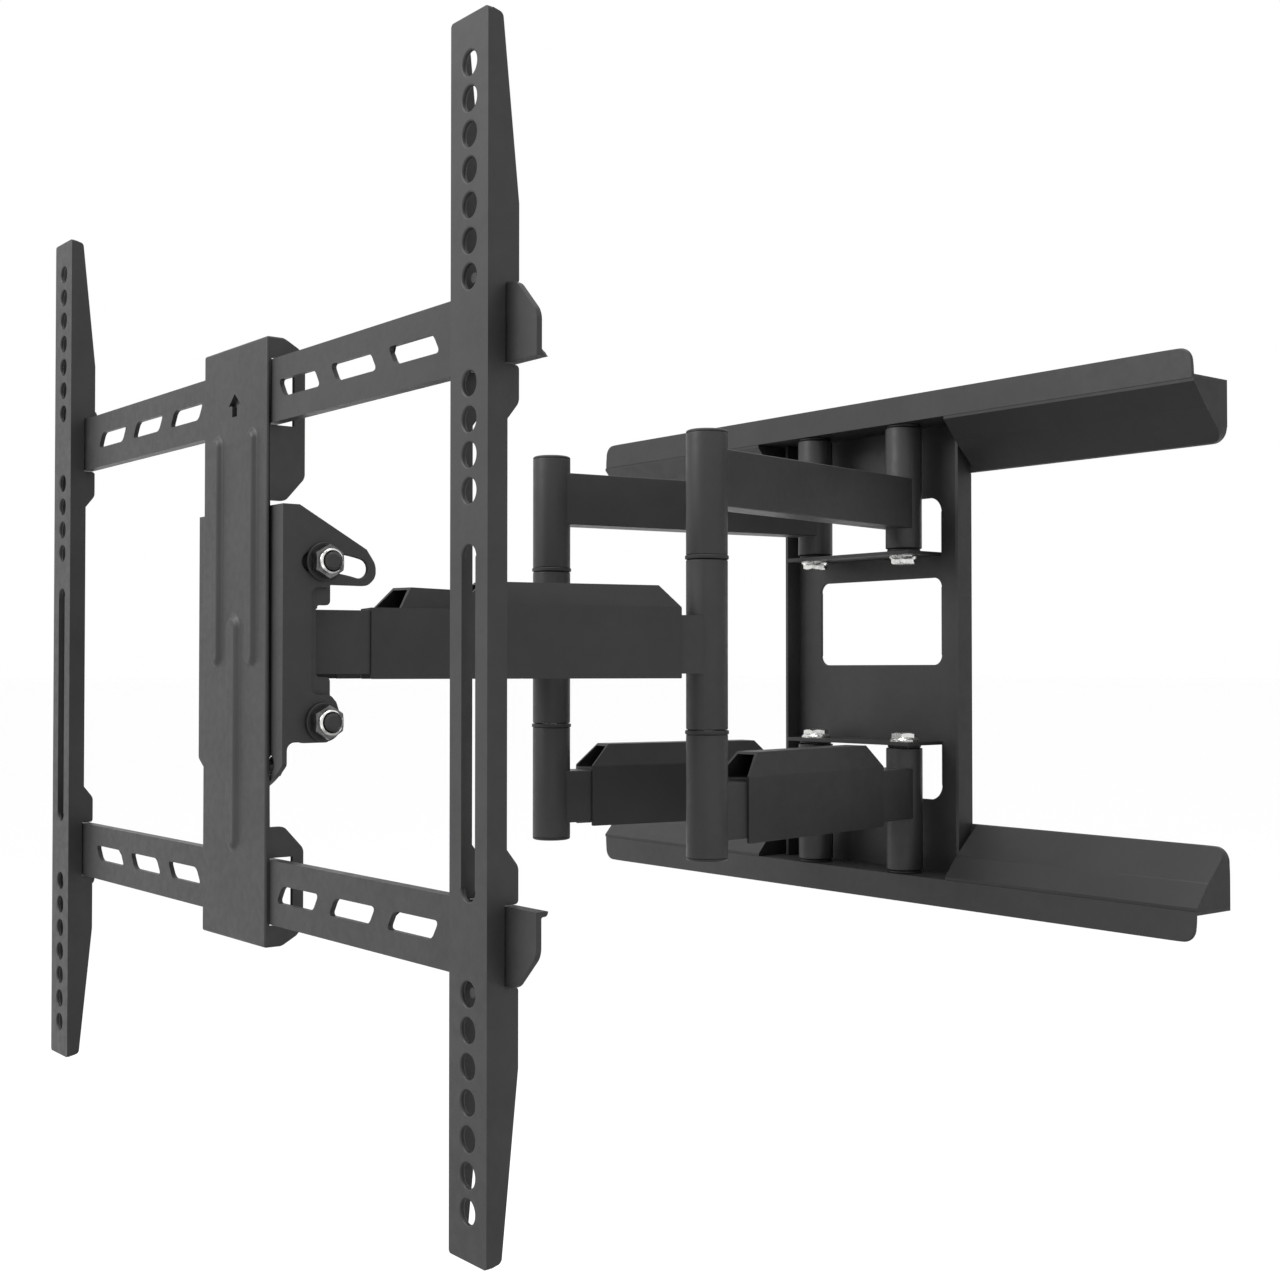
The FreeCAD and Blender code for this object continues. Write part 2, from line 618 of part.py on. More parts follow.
def cross_hardware(name, height):
    """A bolt across the head with its nut, and one large washer on each side."""
    face = "tilt_half_width + cross_gap"
    seat = f"{face} + cross_washer"
    spot = ("tilt_y", height)
    shank = rod(f"{name}_shank", "x", spot, "pin_radius", f"-({seat})", f"{seat} + nut_height + bolt_tail")
    cap = rod(f"{name}_cap", "x", spot, "nut_radius", f"-({seat}) - cross_head", f"-({seat})", 6)
    bolt = at_head(fused(f"{name}_bolt", shank, cap))
    nut = cut(f"{name}_nut", rod(f"{name}_nut_blank", "x", spot, "nut_radius", seat, f"{seat} + nut_height", 6),
              rod(f"{name}_nut_bore", "x", spot, "pin_radius", f"{seat} - 1", f"{seat} + 20"))
    rings = []
    for side, low, high in (("right", face, seat), ("left", f"-({seat})", f"-({face})")):
        disc = rod(f"{name}_ring_{side}_disc", "x", spot, "cross_washer_radius", low, high)
        bore = rod(f"{name}_ring_{side}_bore", "x", spot, "pin_radius", f"{low} - 1", f"{high} + 1")
        rings.append(cut(f"{name}_ring_{side}", disc, bore))
    return bolt, nut, rings


def tilt_bracket():
    """Front plate with a rounded tail, and two side flanges with an ear, an arc slot and a cut-out."""
    half, front, back = "tilt_half_width", "tilt_front", "tilt_front + tilt_sheet"
    plate = box("tilt_plate", (f"-{half}", half), (front, back), ("tilt_bottom", "tilt_top"))
    tail_disc = rod("tail_disc", "y", ("0", "0"), "tail_radius", front, back)
    tail_strip = box("tail_strip", (f"-{half}", half), (front, back), ("-tail_radius", "tilt_bottom"))
    tail = doc.addObject("Part::Common", "tail")
    tail.Base, tail.Tool = tail_disc, tail_strip
    flange = [(front, "tilt_top"), ("tilt_top_back", "tilt_top"), ("ear_shoulder", "ear_shoulder_height"),
              ("ear_back", "ear_back_height"), ("ear_back", "ear_low + ear_corner"),
              ("ear_back - ear_corner", "ear_low"), ("tilt_cut_back", "ear_low"), ("tilt_cut_back", "tilt_cut_half"),
              ("tilt_cut_front", "tilt_cut_half"), ("tilt_cut_front", "-tilt_cut_half"),
              ("tilt_cut_back", "-tilt_cut_half"), ("lug_back - lug_inset", "lug_middle + lug_straight + lug_slope"),
              ("lug_back", "lug_middle + lug_straight"), ("lug_back", "lug_middle - lug_straight"),
              ("lug_back - lug_inset", "lug_middle - lug_straight - lug_slope"),
              ("lug_foot", "tilt_bottom"), (front, "tilt_bottom")]
    pieces = [plate, tail]
    for side, low, high in (("right", f"{half} - tilt_sheet", half), ("left", f"-{half}", f"-{half} + tilt_sheet")):
        pieces.append(prism(f"tilt_flange_{side}", "yz", flange, low, high))
    reach, slot_half = "tilt_reach", "tilt_slot_half"
    pivot = ("tilt_y", "tilt_z")
    through = (f"-{half} - 1", f"{half} + 1")
    # The slot is a ring sector about the tilt pivot, closed by a round end at each limit.
    ring = cut("slot_ring", rod("slot_outer", "x", pivot, f"{reach} + {slot_half}", *through),
               rod("slot_inner", "x", pivot, f"{reach} - {slot_half}", *through))
    edges = {"rear": ("tilt_forward", 1), "front": ("tilt_back", -1)}
    wedge_corners = [pivot]
    for turn in ("-tilt_back", "0", "tilt_forward"):
        wedge_corners.append((f"tilt_y + 1.3 * {reach} * sin(({turn}))", f"tilt_z + 1.3 * {reach} * cos(({turn}))"))
    wedge = prism("slot_wedge", "yz", wedge_corners, *through)
    sector = doc.addObject("Part::Common", "slot_sector")
    sector.Base, sector.Tool = ring, wedge
    tools = [sector, rod("tilt_pivot_hole", "x", pivot, "pin_radius + running_gap", *through)]
    for end, (turn, sign) in edges.items():
        tools.append(rod(f"slot_end_{end}", "x",
                         (f"tilt_y + {sign} * {reach} * sin({turn})", f"tilt_z + {reach} * cos({turn})"),
                         slot_half, *through))
    across = (f"{front} - 1", f"{back} + 1")
    tools.append(rod("level_hole", "y", ("0", "0"), "level_radius + running_gap", *across))
    for side, sign in (("right", ""), ("left", "-")):
        # Three overlapping holes on the arc leave room for three degrees of levelling each way.
        for step in (-1, 0, 1):
            turn = f"atan(level_screw_x / level_screw_z) + {step} * level_step * 1 deg"
            arc = "sqrt(level_screw_x^2 + level_screw_z^2)"
            tools.append(rod(f"level_slot_{side}_{step + 1}", "y",
                             (f"{sign}{arc} * sin({turn})", f"-{arc} * cos({turn})"),
                             "level_screw_radius + level_play", *across))
    return at_head(cut("tilt", fused("tilt_blank", *pieces), *tools))


# --- Television side --------------------------------------------------------------------------

def centre_plate():
    """Channel that carries the two bars: beads, an arrow, and windowed side flanges."""
    half, front, back = "plate_half", "plate_front", "plate_front + plate_sheet"
    tall = "plate_half_height"
    pieces = [box("plate_web", (f"-{half}", half), (front, back), (f"-{tall}", tall))]
    upper = [(front, tall), ("flange_end_front", tall), ("flange_end_middle", "flange_end_slope"),
             ("flange_back", "flange_end"), ("flange_back", "upper_flange_taper"),
             ("upper_flange_foot", "upper_flange_low"), (front, "upper_flange_low")]
    lower = [(front, "lower_flange_high"), ("upper_flange_foot", "lower_flange_high"),
             ("flange_back", "lower_flange_taper"), ("flange_back", "-flange_end"),
             ("flange_end_middle", "-flange_end_slope"), ("flange_end_front", f"-{tall}"), (front, f"-{tall}")]
    for side, low, high in (("right", f"{half} - plate_sheet", half), ("left", f"-{half}", f"-{half} + plate_sheet")):
        pieces.append(prism(f"plate_upper_{side}", "yz", upper, low, high))
        pieces.append(prism(f"plate_lower_{side}", "yz", lower, low, high))
    for name, kind, x in (("right", "side_bead", "side_bead"), ("left", "side_bead", "-side_bead"),
                          ("middle", "middle_bead", "0")):
        low, high, wide = f"{kind}_low", f"{kind}_high", f"{kind}_half"
        span = (f"{front} - bead", front)
        pieces.append(box(f"bead_{name}", (f"{x} - {wide}", f"{x} + {wide}"), span, (low, high)))
        for end, height in (("low", low), ("high", high)):
            pieces.append(rod(f"bead_{name}_{end}", "y", (x, height), wide, *span))
    arrow = [("-arrow_stem", "arrow_low"), ("arrow_stem", "arrow_low"), ("arrow_stem", "arrow_base"),
             ("arrow_half", "arrow_base"), ("0", "arrow_tip"), ("-arrow_half", "arrow_base"),
             ("-arrow_stem", "arrow_base")]
    tools = [prism("arrow", "xz", arrow, f"{front} - 1", f"{back} + 1")]
    for level, low, high in (("upper", "bar_low - bar_play", "bar_high + bar_play"),
                             ("lower", "-bar_high - bar_play", "-bar_low + bar_play")):
        for side, sign in (("right", ""), ("left", "-")):
            span = (f"{half} - plate_sheet - 1", f"{half} + 1")
            span = span if side == "right" else (f"-{half} - 1", f"-{half} + plate_sheet + 1")
            tools.append(box(f"bar_window_{level}_{side}", span, (back, f"{back} + bar_window_depth"), (low, high)))
    for side, sign in (("right", ""), ("left", "-")):
        tools.append(rod(f"plate_screw_{side}", "y", (f"{sign}level_screw_x", "-level_screw_z"), "level_screw_radius",
                         f"{back} - plate_seat", f"{back} + 1"))
    tools.append(rod("plate_stud_seat", "y", ("0", "0"), "level_radius", f"{back} - plate_seat", f"{back} + 1"))
    return at_head(cut("plate", fused("plate_blank", *pieces), *tools))


def upper_bar():
    """Flat bar with a short lip, chamfered ends and three slanted holes on each side."""
    front = "plate_front + plate_sheet"
    back, lip = f"{front} + bar_sheet", f"{front} + bar_lip"
    end, chamfer = "bar_half_length", "bar_end_chamfer"
    outline = [(f"-{end}", "bar_low"), (end, "bar_low"), (end, f"bar_high - {chamfer}"),
               (f"{end} - {chamfer}", "bar_high"), (f"-{end} + {chamfer}", "bar_high"),
               (f"-{end}", f"bar_high - {chamfer}")]
    web = prism("bar_web", "xz", outline, front, back)
    lip_strip = box("bar_lip_strip", (f"-{end}", end), (back, lip), ("bar_low", "bar_low + bar_sheet"))
    tools = []
    for index in range(3):
        start = f"(bar_hole_first + {index} * bar_hole_pitch)"
        stop = f"({start} + bar_hole_length)"
        low, high = "bar_centre - bar_hole_half", "bar_centre + bar_hole_half"
        for side, sign in (("right", ""), ("left", "-")):
            corners = [(f"{sign}({start} + bar_hole_slant)", low), (f"{sign}{stop}", low),
                       (f"{sign}({stop} - bar_hole_slant)", high), (f"{sign}{start}", high)]
            tools.append(prism(f"bar_hole_{side}_{index}", "xz", corners, f"{front} - 1", f"{back} + 1"))
    return cut("bar", fused("bar_blank", web, lip_strip), *tools)


def level_hardware():
    """Rivet that the centre plate levels on, and the two screws that lock it."""
    back = "plate_front + plate_sheet"
    behind = "tilt_front + tilt_sheet"
    head = f"{behind} + level_gap"
    rivet = fused("level_rivet", rod("rivet_shank", "y", ("0", "0"), "level_radius", f"{back} - plate_seat", head),
                  rod("rivet_head", "y", ("0", "0"), "level_head_radius", head, f"{head} + level_head"))
    subpart("level_pivot_rivet", at_head(rivet))
    spot = ("level_screw_x", "-level_screw_z")
    screw = fused("level_screw", rod("level_shank", "y", spot, "level_screw_radius", f"{back} - plate_seat", head),
                  rod("level_nut", "y", spot, "level_nut_radius", head, f"{head} + level_nut", 6))
    pair = grouped("level_screw_pair", screw, mirrored("level_screw_left", screw, "x"))
    subpart("level_lock_screws", at_head(pair))


def tv_bracket():
    """Vertical channel with rows of screw holes, a long slot and notches that hook over the bars."""
    half, front, back, tall = "bracket_half", "tv_front", "tv_front + bracket_sheet", "bracket_height"
    face = box("bracket_face", (f"-{half}", half), (front, back), (f"-{tall}", tall))
    outline = [(front, tall), ("bracket_tip", f"{tall} - bracket_tip_drop"), ("bracket_deep", "bracket_taper"),
               ("bracket_deep", "bracket_deep_low"), ("bracket_shallow", "bracket_shallow_high"),
               ("bracket_shallow", "-bracket_shallow_high"), ("bracket_deep", "-bracket_deep_low"),
               ("bracket_deep", "-bracket_taper"), ("bracket_tip", f"-{tall} + bracket_tip_drop"), (front, f"-{tall}")]
    flanges = [prism("bracket_flange_right", "yz", outline, f"{half} - bracket_sheet", half),
               prism("bracket_flange_left", "yz", outline, f"-{half}", f"-{half} + bracket_sheet")]
    across = (f"{front} - 1", f"{back} + 1")
    heights = []
    for index in range(7):
        heights += [f"tv_hole_first + {index} * tv_hole_pitch", f"-tv_hole_first - {index} * tv_hole_pitch"]
    heights += [f"tv_hole_first - {index} * tv_hole_pitch" for index in range(3, 7)]
    tools = [rod(f"tv_hole_{index}", "y", ("0", height), "tv_hole_radius", *across)
             for index, height in enumerate(heights)]
    tools.append(box("tv_slot", ("-tv_hole_radius", "tv_hole_radius"), across,
                     ("tv_slot_low + tv_hole_radius", "tv_slot_high - tv_hole_radius")))
    tools += [rod(f"tv_slot_{end}", "y", ("0", height), "tv_hole_radius", *across)
              for end, height in (("low", "tv_slot_low + tv_hole_radius"), ("high", "tv_slot_high - tv_hole_radius"))]
    bar_front = "plate_front + plate_sheet - notch_gap"
    for level, low, high in (("upper", "bar_low - notch_gap", "bar_high + notch_gap"),
                             ("lower", "-bar_high - notch_gap", "-bar_low + notch_gap")):
        tools.append(box(f"notch_{level}", (f"-{half} - 1", f"{half} + 1"), (bar_front, "bracket_deep + 1"),
                         (low, high)))
    return cut("bracket", fused("bracket_blank", face, *flanges), *tools)


def keepers():
    """Two screws that keep a bracket hooked on the bars."""
    pieces = []
    for level, height in (("upper", "keeper_z"), ("lower", "-keeper_z")):
        shank = rod(f"keeper_{level}_shank", "y", ("0", height), "keeper_radius", "tv_front + bracket_sheet",
                    "keeper_head_front")
        knob = rod(f"keeper_{level}_head", "y", ("0", height), "keeper_head_radius", "keeper_head_front",
                   "keeper_head_back")
        pieces.append(fused(f"keeper_{level}", shank, knob))
    return grouped("keeper_pair", *pieces)


def build():
    """Make every sub-part."""
    rail = subpart("upper_rail", upper_rail())
    subpart("lower_rail", mirrored("lower_rail_mirror", rail, "z"))
    subpart("centre_panel", centre_panel())
    cover = rail_cover()
    left = both_sides(cover, "rail_cover_upper_right", "rail_cover_upper_left")
    subpart("rail_cover_lower_right", mirrored("cover_lower_right", cover, "z"))
    subpart("rail_cover_lower_left", mirrored("cover_lower_left", left, "z"))
    wall_pivot_hardware()

    upper = rear_arm()
    upper_left = both_sides(upper, "right_upper_rear_arm", "left_upper_rear_arm")
    subpart("right_lower_rear_arm", mirrored("rear_arm_lower_right", upper, "z"))
    subpart("left_lower_rear_arm", mirrored("rear_arm_lower_left", upper_left, "z"))
    rear_cover = cable_cover("rear_clip", "rear_half_width", "-rear_high", "-rear_low", "rear_clip_rise",
                             "rear_clip_start", "rear_clip_end", "rear_clip_end")
    both_sides(stand_off(rear_cover, "pivot_x", "-pivot_depth", REAR_TURN),
               "right_rear_arm_cover", "left_rear_arm_cover")
    elbow_hardware()
    subpart("right_front_arm", front_arm("front_arm_open", "open_pivot_radius"))
    closed = front_arm("front_arm_closed", "pin_radius + running_gap")
    subpart("left_front_arm", mirrored("front_arm_left", closed, "x"))
    front_cover = cable_cover("front_clip", "front_half_width", "-front_half_height", "front_half_height",
                              "front_clip_rise", "front_clip_start", "front_clip_end", "front_duct_end")
    both_sides(stand_off(front_cover, "elbow_x", ELBOW_Y, FRONT_TURN),
               "right_front_arm_cover", "left_front_arm_cover")

    subpart("head_yoke", head_yoke())
    head_pivot_hardware()
    pivot_bolt, pivot_nut, pivot_rings = cross_hardware("tilt_pivot", "tilt_z")
    lock_bolt, lock_nut, lock_rings = cross_hardware("tilt_lock", "tilt_z + tilt_reach")
    subpart("tilt_pivot_bolt", pivot_bolt)
    subpart("tilt_lock_bolt", lock_bolt)
    subpart("tilt_nuts", at_head(grouped("tilt_nut_pair", pivot_nut, lock_nut)))
    subpart("tilt_washers", at_head(grouped("tilt_ring_set", *pivot_rings, *lock_rings)))
    subpart("tilt_bracket", tilt_bracket())

    subpart("centre_plate", centre_plate())
    bar = upper_bar()
    subpart("upper_bar", at_head(bar))
    subpart("lower_bar", mirrored("lower_bar_mirror", bar, "z"))
    level_hardware()
    bracket = at_head(tv_bracket(), "tv_half_spacing")
    both_sides(bracket, "right_tv_bracket", "left_tv_bracket")
    both_sides(at_head(keepers(), "tv_half_spacing"), "right_bracket_keepers", "left_bracket_keepers")


def check_and_export():
    """Recompute, refuse any failed object or shape, and write one STEP file for each sub-part."""
    doc.recompute()
    for item in doc.Objects:
        failed = [state for state in item.State if state in ("Invalid", "Error")]
        if failed:
            raise RuntimeError(f"{item.Name} failed: {item.State}")
    os.makedirs("parts", exist_ok=True)
    for item in subparts:
        shape = item.Shape
        if shape.isNull() or not shape.isValid() or not shape.Solids:
            raise RuntimeError(f"{item.Label} has a bad shape")
    for item in subparts:
        item.Shape.exportStep(f"parts/{item.Label}.step")
        bounds = item.Shape.BoundBox
        print(f"{item.Label:26s} solids {len(item.Shape.Solids):2d} volume {item.Shape.Volume:10.1f} "
              f"x {bounds.XMin:7.1f} {bounds.XMax:7.1f} y {bounds.YMin:7.1f} {bounds.YMax:7.1f} "
              f"z {bounds.ZMin:7.1f} {bounds.ZMax:7.1f}")
    print(f"elbow y {value(ELBOW_Y):.2f}, head y {value(HEAD_Y):.2f}, "
          f"rear turn {value(REAR_TURN):.2f}, front turn {value(FRONT_TURN):.2f}")


build()
check_and_export()
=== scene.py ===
"""Looks of the full-motion TV wall mount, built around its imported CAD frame. Lengths are in metres."""

import json
import math

import bmesh
import bpy
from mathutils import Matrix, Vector


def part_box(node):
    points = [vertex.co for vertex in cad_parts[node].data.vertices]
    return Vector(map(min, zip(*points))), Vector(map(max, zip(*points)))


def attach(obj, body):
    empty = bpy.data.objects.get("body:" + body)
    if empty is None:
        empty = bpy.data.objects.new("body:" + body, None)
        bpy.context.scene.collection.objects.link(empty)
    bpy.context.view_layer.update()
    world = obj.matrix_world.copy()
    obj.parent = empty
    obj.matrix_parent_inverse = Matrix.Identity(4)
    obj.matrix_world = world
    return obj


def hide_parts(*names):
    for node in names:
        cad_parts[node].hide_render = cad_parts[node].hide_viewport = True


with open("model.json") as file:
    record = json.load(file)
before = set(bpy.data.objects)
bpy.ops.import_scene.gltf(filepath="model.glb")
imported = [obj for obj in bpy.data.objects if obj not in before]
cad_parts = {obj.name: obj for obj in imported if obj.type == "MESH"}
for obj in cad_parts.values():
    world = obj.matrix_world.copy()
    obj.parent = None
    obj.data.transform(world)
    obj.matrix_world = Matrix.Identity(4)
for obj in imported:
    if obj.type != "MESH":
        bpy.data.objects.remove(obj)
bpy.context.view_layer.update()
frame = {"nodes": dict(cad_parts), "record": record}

MM = 0.001
SAME_PLANE = math.radians(0.7)
SHARP_BEND = math.radians(32)      # A smaller angle between two faces belongs to a curve, not to an edge.
BROKEN_EDGE = 0.3 * MM
X, Y, Z = Vector((1, 0, 0)), Vector((0, 1, 0)), Vector((0, 0, 1))


# --- Materials --------------------------------------------------------------------------------

class Nodes:
    """Short calls for building one material's node tree."""

    def __init__(self, name):
        self.material = bpy.data.materials.new(name)
        self.material.use_nodes = True
        self.tree = self.material.node_tree
        self.shader = self.tree.nodes["Principled BSDF"]
        self.place = self.add("ShaderNodeTexCoord").outputs["Object"]

    def add(self, kind):
        return self.tree.nodes.new(kind)

    def link(self, source, target):
        self.tree.links.new(source, target)

    def noise(self, size, detail=3.0):
        """Noise whose features are about size metres across."""
        node = self.add("ShaderNodeTexNoise")
        node.inputs["Scale"].default_value = 1 / size
        node.inputs["Detail"].default_value = detail
        node.inputs["Roughness"].default_value = 0.55
        self.link(self.place, node.inputs["Vector"])
        return node.outputs["Fac"]

    def ramp(self, factor, low, high):
        """A smooth change between two greys or colours over the middle of the noise's range."""
        node = self.add("ShaderNodeValToRGB")
        for element, place, tone in zip(node.color_ramp.elements, (0.35, 0.65), (low, high)):
            element.position = place
            element.color = (*tone, 1) if hasattr(tone, "__len__") else (tone, tone, tone, 1)
        self.link(factor, node.inputs["Fac"])
        return node.outputs["Color"]

    def bump(self, height, distance, strength, under=None):
        """A bump of the given depth in metres, over another one if given."""
        node = self.add("ShaderNodeBump")
        node.inputs["Distance"].default_value = distance
        node.inputs["Strength"].default_value = strength
        self.link(height, node.inputs["Height"])
        if under:
            self.link(under, node.inputs["Normal"])
        return node.outputs["Normal"]


def finish_nodes(name, dark, light, smooth, rough, clouding, gloss_change):
    """Nodes whose colour and roughness vary over patches of the two given sizes."""
    n = Nodes(name)
    n.link(n.ramp(n.noise(clouding), dark, light), n.shader.inputs["Base Color"])
    n.link(n.ramp(n.noise(gloss_change), smooth, rough), n.shader.inputs["Roughness"])
    return n


def powder_coat(name, dark, light, smooth, rough, grain=0.7 * MM):
    """Satin black powder coat: fine orange peel, faint clouding and slightly uneven gloss."""
    n = finish_nodes(name, dark, light, smooth, rough, clouding=30 * MM, gloss_change=4 * MM)
    peel = n.bump(n.noise(grain, detail=2.0), distance=0.04 * MM, strength=0.5)
    waves = n.bump(n.noise(grain * 6, detail=1.0), distance=0.08 * MM, strength=0.35, under=peel)
    n.link(waves, n.shader.inputs["Normal"])
    n.shader.inputs["Specular IOR Level"].default_value = 0.38
    return n.material


def moulded_plastic(name, dark, light, smooth, rough):
    """Black moulded plastic with a fine even texture."""
    n = finish_nodes(name, dark, light, smooth, rough, clouding=50 * MM, gloss_change=8 * MM)
    texture = n.bump(n.noise(0.4 * MM, detail=1.0), distance=0.02 * MM, strength=0.4)
    n.link(texture, n.shader.inputs["Normal"])
    n.shader.inputs["Specular IOR Level"].default_value = 0.4
    return n.material


def zinc_plate(name, dark, light, smooth, rough):
    """Zinc plating with a fine grain and a slight tarnish."""
    n = finish_nodes(name, dark, light, smooth, rough, clouding=2.5 * MM, gloss_change=1.2 * MM)
    grain = n.bump(n.noise(0.4 * MM, detail=2.0), distance=0.02 * MM, strength=0.4)
    n.link(grain, n.shader.inputs["Normal"])
    n.shader.inputs["Metallic"].default_value = 1.0
    return n.material


# The darkest and lightest tone of each finish, then its lowest and highest roughness.
MATERIALS = {
    "black_steel": powder_coat("satin_black_powder_coat", 0.021, 0.026, 0.42, 0.52),
    "black_plastic": moulded_plastic("black_moulded_plastic", 0.014, 0.018, 0.46, 0.54),
    "zinc": zinc_plate("bright_zinc_plate", (0.62, 0.62, 0.60), (0.80, 0.80, 0.78), 0.16, 0.30),
    "black_bolt": powder_coat("black_oxide", 0.016, 0.022, 0.30, 0.42, grain=0.4 * MM),
    "washer_plastic": moulded_plastic("black_nylon", 0.012, 0.016, 0.50, 0.60),
}
NODE_SLOTS = {entry["node"]: entry["material_slot"] for entry in frame["record"]["subparts"]}
NODE_BODIES = {
    node: body for body, nodes in frame["record"]["behaviour"]["bodies"].items() for node in nodes}


# --- Sheet metal, tube and moulded shells -----------------------------------------------------

def with_whole_faces(bm):
    """Join the facets of every flat face into one."""
    bmesh.ops.dissolve_limit(bm, angle_limit=math.radians(0.8), verts=bm.verts, edges=bm.edges)


def clean_copy(node):
    """A CAD node's mesh with its seams welded and its flat faces whole."""
    bm = bmesh.new()
    bm.from_mesh(frame["nodes"][node].data)
    bmesh.ops.remove_doubles(bm, verts=bm.verts, dist=0.002 * MM)
    with_whole_faces(bm)
    return bm


def islands(bm):
    """The groups of connected vertices in a mesh."""
    waiting, groups = set(bm.verts), []
    while waiting:
        group, front = set(), [waiting.pop()]
        while front:
            vertex = front.pop()
            group.add(vertex)
            for edge in vertex.link_edges:
                other = edge.other_vert(vertex)
                if other in waiting:
                    waiting.discard(other)
                    front.append(other)
        groups.append(group)
    return groups


def without_cavities(bm):
    """Drop closed shells that lie inside another one, such as the inside of a sealed tube."""
    def extent(group):
        return sum(max(v.co[axis] for v in group) - min(v.co[axis] for v in group) for axis in range(3))

    for group in sorted(islands(bm), key=extent)[:-1]:
        bmesh.ops.delete(bm, geom=list(group), context="VERTS")


def reach(face, start, direction):
    """How far a face stretches away from the line of one of its edges."""
    across = face.normal.cross(direction)
    return max(abs((vertex.co - start).dot(across)) for vertex in face.verts)


RADIUS_STEP = 0.2 * MM
CORNER = 1000                      # Added to the radius, in steps, of an edge at a corner of the outline.
CORNER_SHARE, BEND_SHARE = 0.36, 0.45      # The most of a face's width that a corner or a bend may take.


def rounding(edge, sheet, bend, corner, weld, notches):
    """The radius to round an edge to, in steps, with CORNER added at a corner, or 0 to leave it sharp."""
    if not edge.is_manifold or edge.calc_face_angle() < SHARP_BEND:
        return 0
    start = edge.verts[0].co
    direction = (edge.verts[1].co - start).normalized()
    narrowest = min(reach(face, start, direction) for face in edge.link_faces)
    thickness = 1.3 * sheet
    if edge.calc_length() < thickness:
        if narrowest <= 0.5 * MM or not (notches or edge.is_convex):
            return 0
        return CORNER + round(min(corner, CORNER_SHARE * narrowest) / RADIUS_STEP)
    if narrowest <= thickness:
        return 0
    radius = bend if edge.is_convex else max(weld, bend - sheet, 0.5 * MM)
    return round(min(radius, BEND_SHARE * narrowest) / RADIUS_STEP)


def rounded(bm, sheet, bend, corner, weld=0.0, notches=False):
    """Roll a folded sheet's bends, fillet its welds and round its outline's corners, notches too if asked."""
    mark = bm.edges.layers.int.new("rounding")
    bm.normal_update()
    for edge in bm.edges:
        edge[mark] = rounding(edge, sheet, bend, corner, weld, notches)
    for group in sorted({edge[mark] for edge in bm.edges} - {0, CORNER}, reverse=True):
        chosen = [edge for edge in bm.edges if edge[mark] == group]
        # A bend's radius is clamped to what the piece's tightest spot allows, often almost nothing.
        bmesh.ops.bevel(bm, geom=chosen, offset=group % CORNER * RADIUS_STEP, offset_type="OFFSET",
                        segments=5, profile=0.5, affect="EDGES", clamp_overlap=group < CORNER)


def flat_regions(bm):
    """For each face, the total area and the normal of the flat region that it belongs to."""
    regions = {}
    for seed in bm.faces:
        if seed in regions:
            continue
        members, front = [], [seed]
        regions[seed] = None
        while front:
            face = front.pop()
            members.append(face)
            for edge in face.edges:
                for other in edge.link_faces:
                    if other not in regions and other.normal.angle(seed.normal, math.pi) < SAME_PLANE:
                        regions[other] = None
                        front.append(other)
        area = sum(face.calc_area() for face in members)
        normal = sum((face.normal * face.calc_area() for face in members), Vector()).normalized()
        for face in members:
            regions[face] = (area, normal)
    return regions


def corner_normal(face, vertex, regions, sharp):
    """The shading normal of a face at one of its corners: flat regions win over the curves beside them."""
    fan, front = {face}, [face]
    while front:
        current = front.pop()
        for edge in current.edges:
            if vertex not in edge.verts:
                continue
            for other in edge.link_faces:
                if other not in fan and other.normal.angle(current.normal, math.pi) < sharp:
                    fan.add(other)
                    front.append(other)
    by_area = {regions[member][0]: regions[member][1] for member in fan}
    ranked = sorted(by_area.items(), key=lambda item: -item[0])
    if len(ranked) == 1 or ranked[0][0] > 3 * ranked[1][0]:
        return ranked[0][1]
    return sum((regions[member][1] for member in fan), Vector()).normalized()


def shade(mesh):
    """Shade curves smoothly while flat sheet stays exactly flat."""
    sharp = math.radians(36)
    mesh.polygons.foreach_set("use_smooth", [True] * len(mesh.polygons))
    mesh.set_sharp_from_angle(angle=sharp)
    bm = bmesh.new()
    bm.from_mesh(mesh)
    bm.normal_update()
    regions = flat_regions(bm)
    normals = [corner_normal(face, loop.vert, regions, sharp) for face in bm.faces for loop in face.loops]
    bm.free()
    mesh.normals_split_custom_set(normals)


def without_slivers(mesh):
    """Merge vertices that bevels leave at one point, if the mesh stays closed and keeps its volume."""
    bm = bmesh.new()
    bm.from_mesh(mesh)
    volume = bm.calc_volume()
    bmesh.ops.remove_doubles(bm, verts=bm.verts, dist=0.0001 * MM)
    same_volume = abs(bm.calc_volume() - volume) < 1e-5 * volume
    if same_volume and all(edge.is_manifold for edge in bm.edges):
        bm.to_mesh(mesh)
    bm.free()


